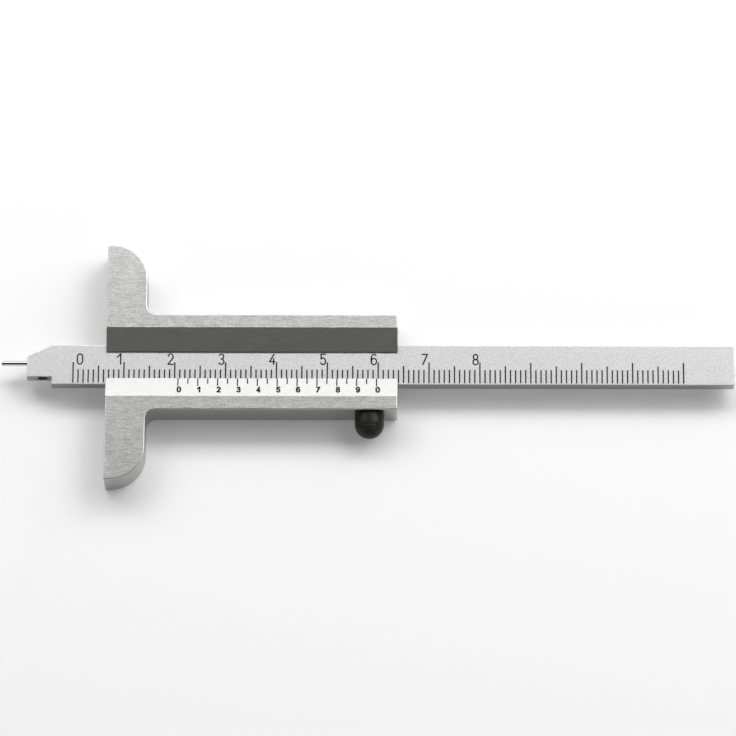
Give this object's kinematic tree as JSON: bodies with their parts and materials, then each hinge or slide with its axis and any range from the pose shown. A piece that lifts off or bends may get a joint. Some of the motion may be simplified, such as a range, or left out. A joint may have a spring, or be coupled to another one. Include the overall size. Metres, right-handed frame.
{
  "type": "vernier depth gauge",
  "caption": "Pocket vernier depth gauge: T-shaped bridge and slider, flat millimetre beam with a thin measuring pin in its nose, and a spring push-button lock.",
  "frame": {"origin": "middle of the bridge's measuring face, at its edge with the back that the gauge lies on", "axes": "+X along the beam from the measuring face to the beam's far end, so the pin points to -X; +Y along the bridge, with the button on the -Y side; +Z out of the scale side"},
  "size_m": [0.1442, 0.0488, 0.0068],
  "materials": {
    "satin_steel_bridge": "satin, brushed along the slider",
    "satin_steel_beam": "fine matt, with black filled graduations",
    "strip_bronze": "ground",
    "screw_steel": "turned",
    "spring_wire": "drawn",
    "bolt_steel": "ground",
    "black_button": "satin black with fine turned rings",
    "polished_pin": "polished",
    "dark_screw": "blackened",
    "scale_paint": "black filling of the scale lines and numbers"
  },
  "bodies": {
    "bridge": {"bridge_slider": "satin_steel_bridge", "guide_strip": "strip_bronze", "strip_screws": "screw_steel", "spring_plug": "screw_steel", "lock_spring": "spring_wire"},
    "beam_group": {"beam": "satin_steel_beam", "measuring_pin": "polished_pin", "pin_screw": "dark_screw", "end_stop_screw": "screw_steel"},
    "lock_group": {"lock_bolt": "bolt_steel", "lock_button": "black_button"}
  },
  "joints": [
    {"name": "beam_slide", "type": "slide", "parent": "bridge", "child": "beam_group", "axis": [-1, 0, 0], "range_m": [-0.0207, 0.0593]},
    {"name": "button_press", "type": "slide", "parent": "bridge", "child": "lock_group", "axis": [0, 1, 0], "range_m": [0, 0.0007], "stiffness_N_per_m": 1000, "springref_m": -0.0015, "deforming": ["lock_spring"]}
  ]
}
